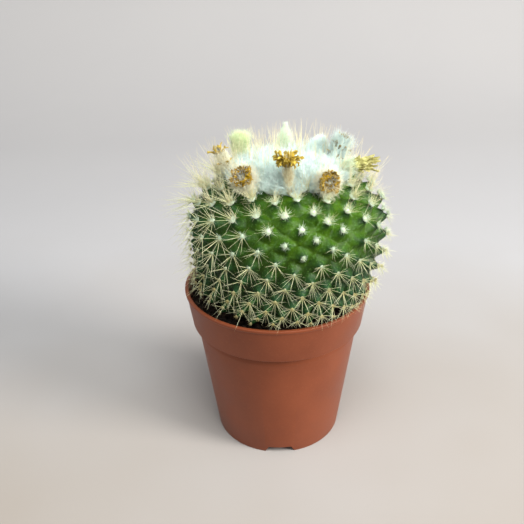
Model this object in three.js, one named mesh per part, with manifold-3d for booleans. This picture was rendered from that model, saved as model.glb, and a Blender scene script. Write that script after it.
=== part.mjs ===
// A round spiral-tubercled cactus in a standard 8.5 cm round nursery pot.
// Units are millimetres and +Z is up. The plant is laid out about the pot's axis, and the finished
// group is then shifted so that the origin is the middle of the whole object's footprint.
// Angles around the plant are degrees from the front (-Y) towards +X.
import * as THREE from "three";
import { mergeVertices } from "three/addons/utils/BufferGeometryUtils.js";
import Module from "manifold-3d";

// Clearance between neighbouring pieces.
const GAP = 0.35;

// Pot.
const POT_HEIGHT = 76.2;
const POT_RIM_RADIUS = 42.5;
const POT_BASE_RADIUS = 29.9;
const POT_BODY_TOP_RADIUS = 37.8;
const COLLAR_HEIGHT = 16.9;
const COLLAR_FOOT_RADIUS = 39.7;
const LIP_HEIGHT = 1.5;
const LIP_STANDOFF = 0.5;
const LIP_WIDTH = 1.6;
const WALL = 1.1;
const FOOT_HEIGHT = 3.5;
const FOOT_WIDTH = 1.7;
const POT_FACETS = 56;
const NOTCH_COUNT = 4;
const NOTCH_BOTTOM = 14;
const NOTCH_TOP = 10.6;
const NOTCH_HEIGHT = 3.1;
const DRAIN_COUNT = 6;
const DRAIN_RADIUS = 3.5;
const DRAIN_CIRCLE = 19;
const DRAIN_SIDES = 12;

// Soil.
const SOIL_TOP = 72;

// Stem: a superellipse turned about a slightly off-centre, slightly leaning axis.
const STEM_OFFSET = 5;
const STEM_LEAN = 0.0032;
const STEM_RADIUS = 44;
const STEM_EQUATOR = 104;
const STEM_RISE = 27;
const STEM_DROP = 43;
const STEM_TOP_POWER = 2.7;
const STEM_FOOT_POWER = 2.65;
const STEM_SECTORS = 60;
const STEM_RINGS = 27;
const HOLLOW_SECTORS = 30;
const HOLLOW_RINGS = 16;
const TUBERCLE_DEPTH = 3.2;
const TUBERCLE_REACH = 5.2;

// Areoles climb the stem one after another, each a fixed turn on from the last, and each
// takes up a little more of the skin than the one below it.
const AREOLE_TURN = 99.471;
const AREOLE_START_ANGLE = -60.55;
const AREOLE_START_AREA = 37.5;
const AREOLE_CELL = 66.8;
const AREOLE_CELL_GROWTH = 0.0985;
const AREOLE_FIRST = -140;
const AREOLE_LAST = 150;

// Spines stand in spiral rows, one row for each remainder of the areole's number.
const SPINE_ROWS = 18;
const SPINE_LOWEST = 83;
const SPINES_PER_AREOLE = 5;
const SPINE_SPREAD = 0.41;
const SPINE_HEIGHTS = [4.6, 2.4];
const SPINE_HUB_RADIUS = 0.55;
const SPINE_HUB_HEIGHT = 0.9;
const SPINE_HUB_TOP = 1.7;
const FLOWER_CLEARANCE = 8;

// Crown.
const WOOL_RADIUS = 29;
const WOOL_THICKNESS = 2.4;
const WOOL_EDGE = 0.7;
const WOOL_SECTORS = 30;
const WOOL_RINGS = 5;
const CROWN_BARE_RADIUS = 33;

// Flowers and buds on the crown: where the foot stands, from above, and where the tip ends.
const BUDS = [
  { name: "bud_back_left", foot: [-15, 14], tip: [-15.6, 17, 144], radius: 4 },
  { name: "bud_back", foot: [4.2, 19.5], tip: [5, 20.5, 146.5], radius: 3.8 },
  { name: "bud_back_right", foot: [16, 12.5], tip: [21.5, 14.5, 142], radius: 3.4 },
];
const FLOWERS = [
  { name: "front_left", foot: [-12, -13.5], tip: [-14.6, -22.4, 137.6], tube: 3.3, petals: 4.3 },
  { name: "front_right", foot: [18.5, -15], tip: [21.5, -23.8, 134], tube: 3.1, petals: 3.8 },
  { name: "centre", foot: [4.4, -18.5], tip: [4.3, -18.8, 144.8], tube: 3.2, petals: 5.2 },
  { name: "left", foot: [-19, 0], tip: [-26.4, 3, 143.2], tube: 3.3, petals: 3.6 },
  { name: "back_right", foot: [23.5, 5.5], tip: [30, 9.5, 142.5], tube: 3.6, petals: 3.2 },
  { name: "right", foot: [29.5, -2], tip: [44, -5.5, 134.8], tube: 2.9, petals: 4 },
];
const TUBE_SHARE = 0.66;
const FLOWER_SIDES = 10;

// Roots.
const TAPROOT_RADIUS = 6;
const TAPROOT_DEPTH = 34;
const SIDE_ROOTS = 6;
const SIDE_ROOT_RADIUS = 1;
const SIDE_ROOT_SIDES = 5;
const SIDE_ROOT_STEPS = 7;

const wasm = await Module();
wasm.setup();

// A geometry with only its shared corners, without the faces that close up on an axis.
function welded(geometry) {
  const bare = geometry.clone();
  bare.deleteAttribute("normal");
  bare.deleteAttribute("uv");
  const merged = mergeVertices(bare, 1e-4);
  const faces = [];
  for (let i = 0; i < merged.index.count; i += 3) {
    const [a, b, c] = [0, 1, 2].map((k) => merged.index.getX(i + k));
    if (a !== b && b !== c && c !== a) faces.push(a, b, c);
  }
  merged.setIndex(faces);
  return merged;
}

function toSolid(geometry) {
  const closed = welded(geometry);
  return new wasm.Manifold(
    new wasm.Mesh({
      numProp: 3,
      vertProperties: new Float32Array(closed.attributes.position.array),
      triVerts: new Uint32Array(closed.index.array),
    }),
  );
}

function toGeometry(solid) {
  const mesh = solid.getMesh();
  const positions = new Float32Array(mesh.numVert * 3);
  for (let i = 0; i < mesh.numVert; i += 1) {
    const start = i * mesh.numProp;
    positions.set(mesh.vertProperties.subarray(start, start + 3), i * 3);
  }
  const geometry = new THREE.BufferGeometry();
  geometry.setAttribute("position", new THREE.BufferAttribute(positions, 3));
  geometry.setIndex(new THREE.BufferAttribute(mesh.triVerts, 1));
  geometry.computeVertexNormals();
  return geometry;
}

// Turns a profile of [radius, height] pairs about the Z axis.
function turned(profile, sectors) {
  const points = profile.map(([radius, height]) => new THREE.Vector2(radius, height));
  return new THREE.LatheGeometry(points, sectors).rotateX(Math.PI / 2);
}

function piece(name, geometry, color, roughness) {
  const material = new THREE.MeshStandardMaterial({ color, roughness, metalness: 0 });
  const mesh = new THREE.Mesh(geometry, material);
  mesh.name = name;
  return mesh;
}

// The outside radius of the pot's tapering body at a height.
function potBodyRadius(z) {
  const share = z / (POT_HEIGHT - COLLAR_HEIGHT);
  return POT_BASE_RADIUS + (POT_BODY_TOP_RADIUS - POT_BASE_RADIUS) * share;
}

function makePot() {
  const shelf = POT_HEIGHT - COLLAR_HEIGHT;
  const floorTop = FOOT_HEIGHT + WALL;
  const lipFoot = POT_HEIGHT - LIP_HEIGHT;
  const profile = [
    [0, FOOT_HEIGHT],
    [POT_BASE_RADIUS - FOOT_WIDTH, FOOT_HEIGHT],
    [POT_BASE_RADIUS - FOOT_WIDTH, 0],
    [POT_BASE_RADIUS, 0],
    [POT_BODY_TOP_RADIUS, shelf],
    [COLLAR_FOOT_RADIUS, shelf],
    [POT_RIM_RADIUS - LIP_STANDOFF, lipFoot],
    [POT_RIM_RADIUS, lipFoot + 0.2],
    [POT_RIM_RADIUS, POT_HEIGHT - 0.4],
    [POT_RIM_RADIUS - 0.4, POT_HEIGHT],
    [POT_RIM_RADIUS - LIP_WIDTH, POT_HEIGHT],
    [COLLAR_FOOT_RADIUS - WALL, shelf + WALL],
    [POT_BODY_TOP_RADIUS - WALL, shelf],
    [potBodyRadius(floorTop) - WALL, floorTop],
    [0, floorTop],
  ];
  let solid = toSolid(turned(profile, POT_FACETS));

  const notchShape = new THREE.Shape();
  notchShape.moveTo(-NOTCH_BOTTOM / 2, -1);
  notchShape.lineTo(NOTCH_BOTTOM / 2, -1);
  notchShape.lineTo(NOTCH_BOTTOM / 2, 0);
  notchShape.lineTo(NOTCH_TOP / 2, NOTCH_HEIGHT);
  notchShape.lineTo(-NOTCH_TOP / 2, NOTCH_HEIGHT);
  notchShape.lineTo(-NOTCH_BOTTOM / 2, 0);
  const notchLength = 3 * FOOT_WIDTH;
  const prism = { depth: notchLength, bevelEnabled: false };
  const notch = new THREE.ExtrudeGeometry(notchShape, prism);
  notch.rotateX(Math.PI / 2);
  notch.translate(0, notchLength / 2 - POT_BASE_RADIUS, 0);
  for (let i = 0; i < NOTCH_COUNT; i += 1) {
    const turn = (i * 2 * Math.PI) / NOTCH_COUNT;
    solid = solid.subtract(toSolid(notch.clone().rotateZ(turn)));
  }

  const drain = new THREE.CylinderGeometry(DRAIN_RADIUS, DRAIN_RADIUS, 4 * WALL, DRAIN_SIDES);
  drain.rotateX(Math.PI / 2);
  drain.translate(DRAIN_CIRCLE, 0, FOOT_HEIGHT + WALL / 2);
  for (let i = 0; i < DRAIN_COUNT; i += 1) {
    const turn = ((i + 0.5) * 2 * Math.PI) / DRAIN_COUNT;
    solid = solid.subtract(toSolid(drain.clone().rotateZ(turn)));
  }
  return piece("pot", toGeometry(solid), 0xa05c45, 0.5);
}

// Half-width of the stem at a height.
function stemRadius(z) {
  const above = z >= STEM_EQUATOR;
  const reach = above ? STEM_RISE : STEM_DROP;
  const power = above ? STEM_TOP_POWER : STEM_FOOT_POWER;
  const share = Math.min(1, Math.abs(z - STEM_EQUATOR) / reach);
  return STEM_RADIUS * Math.pow(1 - Math.pow(share, power), 1 / power);
}

// Where the stem's axis stands at a height: it leans in towards the pot's middle low down.
function stemAxisX(z) {
  return STEM_OFFSET - STEM_LEAN * Math.pow(Math.max(0, STEM_EQUATOR - z), 2);
}

// Points [radius, height] up one side of the stem, from its foot to its top.
function stemMeridian(steps) {
  const points = [];
  for (let i = 0; i <= steps; i += 1) {
    const angle = Math.PI * (i / steps - 0.5);
    const above = angle >= 0;
    const power = above ? STEM_TOP_POWER : STEM_FOOT_POWER;
    const reach = above ? STEM_RISE : STEM_DROP;
    const rise = Math.sign(angle) * Math.pow(Math.abs(Math.sin(angle)), 2 / power);
    const atPole = i === 0 || i === steps;
    const radius = atPole ? 0 : STEM_RADIUS * Math.pow(Math.cos(angle), 2 / power);
    points.push([radius, STEM_EQUATOR + reach * rise]);
  }
  return points;
}

// Height of the crown's domed surface over a spot.
function crownHeight(x, y) {
  const share = Math.min(1, Math.hypot(x - STEM_OFFSET, y) / STEM_RADIUS);
  const power = STEM_TOP_POWER;
  return STEM_EQUATOR + STEM_RISE * Math.pow(1 - Math.pow(share, power), 1 / power);
}

// The skin area between the equator and each of the meridian's points, negative below.
function skinAreas(meridian) {
  const areas = [0];
  for (let i = 1; i < meridian.length; i += 1) {
    const [r0, z0] = meridian[i - 1];
    const [r1, z1] = meridian[i];
    areas.push(areas[i - 1] + Math.PI * (r0 + r1) * Math.hypot(r1 - r0, z1 - z0));
  }
  const atEquator = areas[meridian.findIndex(([, z]) => z >= STEM_EQUATOR)];
  return areas.map((area) => area - atEquator);
}

// The areoles that lie on the stem, each with its number, point and outward direction.
function makeAreoles() {
  const meridian = stemMeridian(720);
  const areas = skinAreas(meridian);
  const areoles = [];
  for (let n = AREOLE_FIRST; n <= AREOLE_LAST; n += 1) {
    const area = AREOLE_START_AREA + AREOLE_CELL * n + AREOLE_CELL_GROWTH * n * n;
    const above = areas.findIndex((value) => value > area);
    if (above <= 0) continue;
    const [r0, z0] = meridian[above - 1];
    const [r1, z1] = meridian[above];
    const share = (area - areas[above - 1]) / (areas[above] - areas[above - 1]);
    const radius = r0 + (r1 - r0) * share;
    const z = z0 + (z1 - z0) * share;
    const angle = THREE.MathUtils.degToRad(AREOLE_START_ANGLE + AREOLE_TURN * n);
    const around = new THREE.Vector3(Math.sin(angle), -Math.cos(angle), 0);
    const normal = around.clone().multiplyScalar(z1 - z0);
    normal.z = r0 - r1;
    areoles.push({
      n,
      z,
      radius,
      cell: AREOLE_CELL + 2 * AREOLE_CELL_GROWTH * n,
      point: new THREE.Vector3(stemAxisX(z) + radius * around.x, radius * around.y, z),
      normal: normal.normalize(),
    });
  }
  return areoles;
}

// The stem: its skin sinks between the areoles, which leaves one low cone under each.
function makeStem(areoles) {
  const geometry = welded(turned(stemMeridian(STEM_RINGS), STEM_SECTORS));
  const position = geometry.attributes.position;
  const vertex = new THREE.Vector3();
  const centre = new THREE.Vector3();
  for (let i = 0; i < position.count; i += 1) {
    vertex.fromBufferAttribute(position, i);
    vertex.x += stemAxisX(vertex.z);
    const distances = areoles.map((areole) => areole.point.distanceTo(vertex));
    const share = Math.min(1, Math.min(...distances) / TUBERCLE_REACH);
    const sink = TUBERCLE_DEPTH * THREE.MathUtils.smoothstep(share, 0.1, 1);
    centre.set(stemAxisX(vertex.z), 0, STEM_EQUATOR);
    const inward = centre.sub(vertex);
    inward.z *= Math.abs(inward.z) / STEM_RADIUS;
    vertex.addScaledVector(inward.normalize(), GAP + sink);
    position.setXYZ(i, vertex.x, vertex.y, vertex.z);
  }
  return piece("cactus_stem", geometry, 0x4c7a2c, 0.6);
}

// A plain stem outline, larger all round by a margin, for the hollows that hold the stem.
function stemHollow(margin) {
  const profile = stemMeridian(HOLLOW_RINGS).map(([radius, z]) => {
    const share = (z - STEM_EQUATOR) / STEM_DROP;
    return [radius === 0 ? 0 : radius + margin, z + margin * share];
  });
  const geometry = welded(turned(profile, HOLLOW_SECTORS));
  const position = geometry.attributes.position;
  for (let i = 0; i < position.count; i += 1) {
    position.setX(i, position.getX(i) + stemAxisX(position.getZ(i)));
  }
  return toSolid(geometry);
}

// The taproot under the stem and the side roots that spread from it, thicker by a margin.
function rootSolid(margin) {
  const top = STEM_EQUATOR - STEM_DROP - GAP + margin;
  const foot = top - TAPROOT_DEPTH - 2 * margin;
  const axisX = stemAxisX(STEM_EQUATOR - STEM_DROP);
  const profile = [
    [0, foot],
    [1 + margin, foot + 1],
    [TAPROOT_RADIUS * 0.45 + margin, foot + TAPROOT_DEPTH * 0.4],
    [TAPROOT_RADIUS + margin, top - TAPROOT_DEPTH * 0.2],
    [TAPROOT_RADIUS * 0.7 + margin, top],
    [0, top],
  ];
  let solid = toSolid(turned(profile, 12).translate(axisX, 0, 0));
  const section = new THREE.Shape();
  for (let i = 0; i < SIDE_ROOT_SIDES; i += 1) {
    const angle = (i * 2 * Math.PI) / SIDE_ROOT_SIDES;
    const radius = SIDE_ROOT_RADIUS + margin;
    section[i ? "lineTo" : "moveTo"](radius * Math.cos(angle), radius * Math.sin(angle));
  }
  for (let i = 0; i < SIDE_ROOTS; i += 1) {
    const angle = (i * 2 * Math.PI) / SIDE_ROOTS + 0.4;
    const start = STEM_EQUATOR - STEM_DROP - 6 - 3 * (i % 3);
    const along = ([out, drop, swing]) =>
      new THREE.Vector3(
        axisX + out * Math.cos(angle + swing),
        out * Math.sin(angle + swing),
        start - drop,
      );
    const route = [
      [2, 0, 0],
      [11, 3, 0.1],
      [18, 12, -0.15],
      [20, 26 + margin, 0.05],
    ];
    const extrudePath = new THREE.CatmullRomCurve3(route.map(along));
    const options = { steps: SIDE_ROOT_STEPS, bevelEnabled: false, extrudePath };
    solid = solid.add(toSolid(new THREE.ExtrudeGeometry(section, options)));
  }
  return solid;
}

// Potting soil: everything inside the pot that the stem and roots leave.
function makeSoil() {
  const floor = FOOT_HEIGHT + WALL + GAP;
  const shelf = POT_HEIGHT - COLLAR_HEIGHT;
  const collarFoot = COLLAR_FOOT_RADIUS - WALL - GAP;
  const rim = POT_RIM_RADIUS - LIP_WIDTH - GAP;
  const share = (SOIL_TOP - shelf) / COLLAR_HEIGHT;
  const profile = [
    [0, floor],
    [potBodyRadius(floor) - WALL - GAP, floor],
    [POT_BODY_TOP_RADIUS - WALL - GAP, shelf],
    [collarFoot, shelf + WALL + GAP],
    [collarFoot + (rim - collarFoot) * share, SOIL_TOP],
    [0, SOIL_TOP + 1],
  ];
  const filled = toSolid(turned(profile, POT_FACETS));
  const solid = filled.subtract(stemHollow(GAP)).subtract(rootSolid(GAP));
  return piece("potting_soil", toGeometry(solid), 0x241a14, 0.95);
}

// One areole's spines as a low star. One point of the star reaches the next areole of the row.
function spineStar(areole, next) {
  const towards = next ? next.point.clone().sub(areole.point) : new THREE.Vector3(0, 0, 1);
  const side = new THREE.Vector3().crossVectors(areole.normal, towards).normalize();
  const along = new THREE.Vector3().crossVectors(side, areole.normal);
  const at = (radius, angle, height) =>
    areole.point
      .clone()
      .addScaledVector(areole.normal, height)
      .addScaledVector(along, radius * Math.cos(angle))
      .addScaledVector(side, radius * Math.sin(angle));
  const ring = [];
  for (let i = 0; i < SPINES_PER_AREOLE; i += 1) {
    const angle = (i * 2 * Math.PI) / SPINES_PER_AREOLE;
    const valley = angle + Math.PI / SPINES_PER_AREOLE;
    const spread = SPINE_SPREAD * Math.sqrt(areole.cell);
    const height = SPINE_HEIGHTS[i % SPINE_HEIGHTS.length];
    ring.push(at(spread, angle, height), at(SPINE_HUB_RADIUS, valley, SPINE_HUB_HEIGHT));
  }
  if (next) {
    ring[0] = next.point.clone().addScaledVector(next.normal, SPINE_HUB_HEIGHT);
  }
  const corners = [at(0, 0, GAP), at(0, 0, SPINE_HUB_TOP), ...ring];
  const faces = [];
  for (let i = 0; i < ring.length; i += 1) {
    const here = 2 + i;
    const there = 2 + ((i + 1) % ring.length);
    faces.push(1, here, there, 0, there, here);
  }
  const geometry = new THREE.BufferGeometry().setFromPoints(corners);
  geometry.setIndex(faces);
  return toSolid(geometry);
}

// Flowers and buds keep the spine rows clear of themselves.
function clearOfFlowers(areole) {
  return [...BUDS, ...FLOWERS].every(({ tip }) => {
    const flower = new THREE.Vector3(...tip);
    return flower.distanceTo(areole.point) > FLOWER_CLEARANCE;
  });
}

function makeSpineRow(areoles, row) {
  const inRow = areoles.filter(
    (areole) =>
      (((areole.n % SPINE_ROWS) + SPINE_ROWS) % SPINE_ROWS) === row &&
      areole.z > SPINE_LOWEST &&
      (areole.z < STEM_EQUATOR || areole.radius > CROWN_BARE_RADIUS) &&
      clearOfFlowers(areole),
  );
  const stars = inRow.map((areole, i) => spineStar(areole, inRow[i + 1]));
  const solid = stars.reduce((joined, star) => joined.add(star));
  const name = `spine_row_${String(row + 1).padStart(2, "0")}`;
  return piece(name, toGeometry(solid), 0xd9cf9f, 0.5);
}

// A flower part: a profile turned about the line from its foot to its tip.
function placed(foot, tip) {
  const base = new THREE.Vector3(...foot, crownHeight(...foot) + WOOL_EDGE);
  const line = new THREE.Vector3(...tip).sub(base);
  const up = new THREE.Vector3(0, 0, 1);
  const turn = new THREE.Quaternion().setFromUnitVectors(up, line.clone().normalize());
  const group = new THREE.Group();
  group.position.copy(base);
  group.quaternion.copy(turn);
  return { group, length: line.length() };
}

function makeBud({ name, foot, tip, radius }) {
  const { group, length } = placed(foot, tip);
  const profile = [
    [0, 0],
    [radius * 0.55, length * 0.06],
    [radius, length * 0.32],
    [radius * 0.9, length * 0.6],
    [radius * 0.45, length * 0.88],
    [0, length],
  ];
  group.add(piece(name, turned(profile, FLOWER_SIDES), 0xe8edcf, 0.9));
  return group;
}

function tubeProfile(radius, length, margin) {
  return [
    [0, -margin],
    [radius * 0.5 + margin, -margin],
    [radius + margin, length * 0.45],
    [radius * 0.85 + margin, length],
    [0, length],
  ];
}

// A withered flower: a woolly floral tube, and the dried petals that close over its end.
function makeFlower({ name, foot, tip, tube, petals }) {
  const { group, length } = placed(foot, tip);
  const tubeLength = length * TUBE_SHARE;
  const bottom = tubeLength + GAP;
  const profile = [
    [0, bottom],
    [tube * 0.7, bottom],
    [petals, length - 0.8],
    [petals * 0.86, length],
    [petals * 0.4, bottom + (length - bottom) * 0.6],
    [0, bottom + (length - bottom) * 0.5],
  ];
  const flower = welded(turned(profile, FLOWER_SIDES));
  const position = flower.attributes.position;
  for (let i = 0; i < position.count; i += 1) {
    const [x, y, z] = [position.getX(i), position.getY(i), position.getZ(i)];
    const sector = Math.round((Math.atan2(y, x) * FLOWER_SIDES) / (2 * Math.PI));
    const folded = Math.hypot(x, y) > petals * 0.5 && sector % 2 === 0 ? 0.78 : 1;
    position.setXYZ(i, x * folded, y * folded, z);
  }
  const woollyTube = turned(tubeProfile(tube, tubeLength, 0), FLOWER_SIDES);
  group.add(piece(`flower_${name}_tube`, woollyTube, 0xe6dfc4, 0.9));
  group.add(piece(`flower_${name}_petals`, flower, 0xc9932f, 0.8));
  return group;
}

// The crown's wool: a thin cushion that follows the stem's top, with room for every flower.
function makeWool(flowerGroups) {
  const under = [];
  const over = [];
  for (let i = 0; i <= WOOL_RINGS; i += 1) {
    const radius = (WOOL_RADIUS * i) / WOOL_RINGS;
    const surface = crownHeight(STEM_OFFSET + radius, 0) + GAP;
    const share = 1 - Math.pow(i / WOOL_RINGS, 2);
    under.push([radius, surface]);
    over.unshift([radius, surface + WOOL_EDGE + (WOOL_THICKNESS - WOOL_EDGE) * share]);
  }
  let solid = toSolid(turned([...under, ...over], WOOL_SECTORS).translate(STEM_OFFSET, 0, 0));
  [...BUDS, ...FLOWERS].forEach(({ tube, radius }, i) => {
    const size = tube ?? radius;
    const socket = turned(tubeProfile(size, 2.5 * size, GAP), FLOWER_SIDES);
    flowerGroups[i].updateMatrixWorld(true);
    socket.translate(0, 0, -GAP);
    solid = solid.subtract(toSolid(socket.applyMatrix4(flowerGroups[i].matrixWorld)));
  });
  return piece("crown_wool", toGeometry(solid), 0xeef0e6, 0.95);
}

const areoles = makeAreoles();
const plant = new THREE.Group();
plant.add(makePot(), makeSoil(), makeStem(areoles));
plant.add(piece("roots", toGeometry(rootSolid(0)), 0xb59a6a, 0.9));
const flowerGroups = [...BUDS.map(makeBud), ...FLOWERS.map(makeFlower)];
plant.add(makeWool(flowerGroups), ...flowerGroups);
for (let row = 0; row < SPINE_ROWS; row += 1) {
  plant.add(makeSpineRow(areoles, row));
}

// The origin goes to the middle of the footprint, at the level that the pot stands on.
const extent = new THREE.Box3().setFromObject(plant, true);
plant.position.set(-(extent.min.x + extent.max.x) / 2, -(extent.min.y + extent.max.y) / 2, 0);

const pottedCactus = new THREE.Group();
pottedCactus.add(plant);
export default pottedCactus;
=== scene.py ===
import math

import bpy
import numpy as np
from mathutils import Matrix, Vector, noise


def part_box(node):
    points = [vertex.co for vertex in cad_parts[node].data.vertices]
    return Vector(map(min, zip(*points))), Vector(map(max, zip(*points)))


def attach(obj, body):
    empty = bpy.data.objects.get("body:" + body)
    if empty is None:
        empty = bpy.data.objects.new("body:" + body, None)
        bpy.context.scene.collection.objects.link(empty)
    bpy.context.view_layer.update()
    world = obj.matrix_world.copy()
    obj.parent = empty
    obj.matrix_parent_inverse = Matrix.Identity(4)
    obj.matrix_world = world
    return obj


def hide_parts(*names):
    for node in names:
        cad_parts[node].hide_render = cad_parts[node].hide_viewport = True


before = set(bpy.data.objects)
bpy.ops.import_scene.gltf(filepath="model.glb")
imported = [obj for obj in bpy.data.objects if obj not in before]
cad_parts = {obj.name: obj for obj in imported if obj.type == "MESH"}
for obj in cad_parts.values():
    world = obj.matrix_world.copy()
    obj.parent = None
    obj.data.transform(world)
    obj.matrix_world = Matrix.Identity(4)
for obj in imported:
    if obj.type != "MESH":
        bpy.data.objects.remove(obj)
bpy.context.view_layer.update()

# The plant is laid out in millimetres about the pot's axis at floor level, as the CAD model is.
# ORIGIN is that point in the frame, in metres. The front is -Y, and angles run from it to +X.
MM = 0.001
POT_LOW, POT_HIGH = (np.array(corner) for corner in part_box("pot"))
ORIGIN = np.array([(POT_LOW[0] + POT_HIGH[0]) / 2, (POT_LOW[1] + POT_HIGH[1]) / 2, POT_LOW[2]])
POT_HEIGHT = (POT_HIGH[2] - POT_LOW[2]) / MM
POT_RIM_RADIUS = (POT_HIGH[0] - POT_LOW[0]) / 2 / MM
UP = np.array([0, 0, 1.0])
LEVEL = np.array([1.0, 1.0, 0])

# Pot.
POT_BASE_RADIUS = 29.9
POT_BODY_TOP_RADIUS = 37.8
COLLAR_HEIGHT = 16.9
COLLAR_FOOT_RADIUS = 39.7
LIP_HEIGHT = 1.5
LIP_WIDTH = 1.6
WALL = 1.1
CORNER_RADIUS = 0.3
STEP_RECESS = 0.9
NOTCHES = 4
NOTCH_BOTTOM = 14.0
NOTCH_TOP = 10.6
NOTCH_HEIGHT = 3.1
DRAIN_HOLES = 6
DRAIN_RADIUS = 3.5
DRAIN_CIRCLE = 19.0
DRAIN_CUT = (1.5, 5.2)
FOOT_HEIGHT = 3.5
FOOT_WIDTH = 1.7
SOIL_TOP = 71.5
# The soil's lumps: height, size and seed of the noise.
SOIL_LUMPS = ((0.9, 5, 51), (0.7, 1.7, 52), (0.4, 0.8, 53))
CRUMBS = 900

# Stem. Each tubercle rises to a tip just below its areole and bulges in a chin under that.
STEM_OFFSET = 5.0
STEM_LEAN = 0.0032
STEM_RADIUS = 44.0
STEM_EQUATOR = 104.0
STEM_RISE = 27.0
STEM_DROP = 43.0
STEM_TOP_POWER = 2.7
STEM_FOOT_POWER = 2.65
TUBERCLE_DEPTH = 3.9
TUBERCLE_POWER = 1.3
TIP_BELOW_AREOLE = 0.8
CHIN_SIZE, CHIN_DROP, CHIN_WIDTH = 0.7, 1.9, 1.3

# Areoles.
AREOLE_NUMBERS = range(-150, 160)
AREOLE_TURN = 99.471
AREOLE_START_ANGLE = -60.55
AREOLE_START_AREA = 37.5
AREOLE_CELL = 66.8
AREOLE_CELL_GROWTH = 0.0985
SPINE_ROWS = 18
# Areoles that stand out of line, by the share of a step that they have slipped along their row.
SLIPS = {109: -0.6, 91: -0.5, 73: -0.5, 55: -0.3, 37: -0.2, 66: 0.25, 48: 0.45}
ALMOST_BARE = (26, 44, 48, 55, 73)

# Spines. An areole has from the first number of radials or centrals to one less than the second.
# One that would hit the pot is tried at each of the cuts of its length.
SPINE_LENGTH = 7.4
LEFT_EXTRA = 2.8
SHOULDER_EXTRA = 5.4
BARE_SHARE = 0.3
RADIALS = (9, 14)
CENTRALS = (1, 4)
SPINE_RADIUS = (0.043, 0.073)
SPINE_TAPER = np.array([1.0, 0.92, 0.75, 0.5, 0.12])
SPINE_CUTS = (1.0, 0.75, 0.5)
# No spine runs left of this x, between these radii and under this height all at once.
KEEP_OUT = (
    (math.inf, 39.6, 43.2, POT_HEIGHT + 0.2),
    (math.inf, -1, 42, SOIL_TOP + 0.2),
    (-6, 36.8, 46, POT_HEIGHT + 3),
    (-18, 36.0, 46, POT_HEIGHT + 4.5),
)
FELT_HAIR_RADII = np.array([0.05, 0.045, 0.015])
HAIR_THINNING = 0.75

# Crown.
WOOL_MEAN_RADIUS = 26.8
WOOL_SHIFT = 4.5
WOOL_THICKNESS = 3.2
WOOL_SUNK = 0.6
WOOL_HAIRS = 9000
SHOULDER_HAIRS = 1900
STAMENS = 220
BUD_COAT = dict(count=5200, high=0.76, lengths=(2.0, 5.6), lean=(0.1, 1.0), curl=0.3)
# The bodies under the coats: shares of the length, widths there, and how far they fill the radius.
BUD_SHAPE = dict(
    knots=(0, 0.06, 0.2, 0.4, 0.6, 0.8, 0.92, 1.0),
    widths=(0, 0.55, 0.85, 1.0, 0.9, 0.62, 0.34, 0),
    end=0.78, fill=0.62, sectors=40, lump=0.18, seed=31,
)
TUBE_SHAPE = dict(
    knots=(0, 0.04, 0.35, 0.75, 0.95, 1.0),
    widths=(0, 0.6, 0.95, 1.0, 0.75, 0),
    fill=0.8, sectors=36, lump=0.15, seed=41,
)
# Buds: foot on the crown, tip, radius, and the wools of the body and of its coat.
BUDS = {
    "bud_back_left": dict(
        foot=(-15, 14), tip=(-15.6, 17, 142.4), radius=3.5, level=True, wools=("bud_wool", "bud_wool_yellow")
    ),
    "bud_back": dict(
        foot=(4.2, 19.5), tip=(5, 20.5, 146.5), radius=4.2, tuck=0.35, wools=("bud_wool", "bud_wool_pale")
    ),
    "bud_back_right": dict(
        foot=(16, 12.5), tip=(21.5, 14.5, 141), radius=5.4, tuck=0.0, wools=("wool", "wool_fine")
    ),
}
# Flowers: the same, with the tube's radius, the share of the length where the petals start, how far
# out and how long the tube's hairs stand, and what differs from the usual hairs, wools and petals.
FLOWERS = {
    "front_left": dict(
        foot=(-12, -13.5), tip=(-14.6, -22.4, 137.6), tube=3.6, start=0.7, halo=3.0, hair=(1.8, 5.2)
    ),
    "front_right": dict(
        foot=(18.5, -15), tip=(21.5, -23.8, 134.0), tube=3.3, start=0.7, halo=3.0, hair=(1.8, 5.2)
    ),
    "centre": dict(
        foot=(4.9, -21.2, 127.5), tip=(4.1, -18.6, 144.6), tube=1.1, start=0.71, halo=0.36, hair=(2.2, 5.6),
        lean=0.05, hairs=1100, wools=("tube_wool", "tube_wool_tan"), petals="gold_petal",
    ),
    "left": dict(
        foot=(-19, 0), tip=(-26.4, 3, 143.2), tube=1.9, start=0.6, halo=1.2, hair=(1.0, 3.2),
        petals="gold_petal",
    ),
    "back_right": dict(
        foot=(23.5, 5.5), tip=(30, 9.5, 142.2), tube=3.4, start=0.88, halo=1.9, hair=(1.8, 4.8),
        wools=("wool", "tube_wool_grey"),
    ),
    "right": dict(
        foot=(27, -1, 131.5), tip=(42.8, -5.0, 135.8), tube=2.4, start=0.3, halo=1.2, hair=(1.2, 3.6),
        wools=("tube_wool", "bud_wool_pale"), petals="yellow_petal",
    ),
}
TUBE_DEFAULTS = dict(lean=0.2, hairs=3000, wools=("tube_wool", "tube_wool_fine"), petals="dried_petal")

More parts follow.
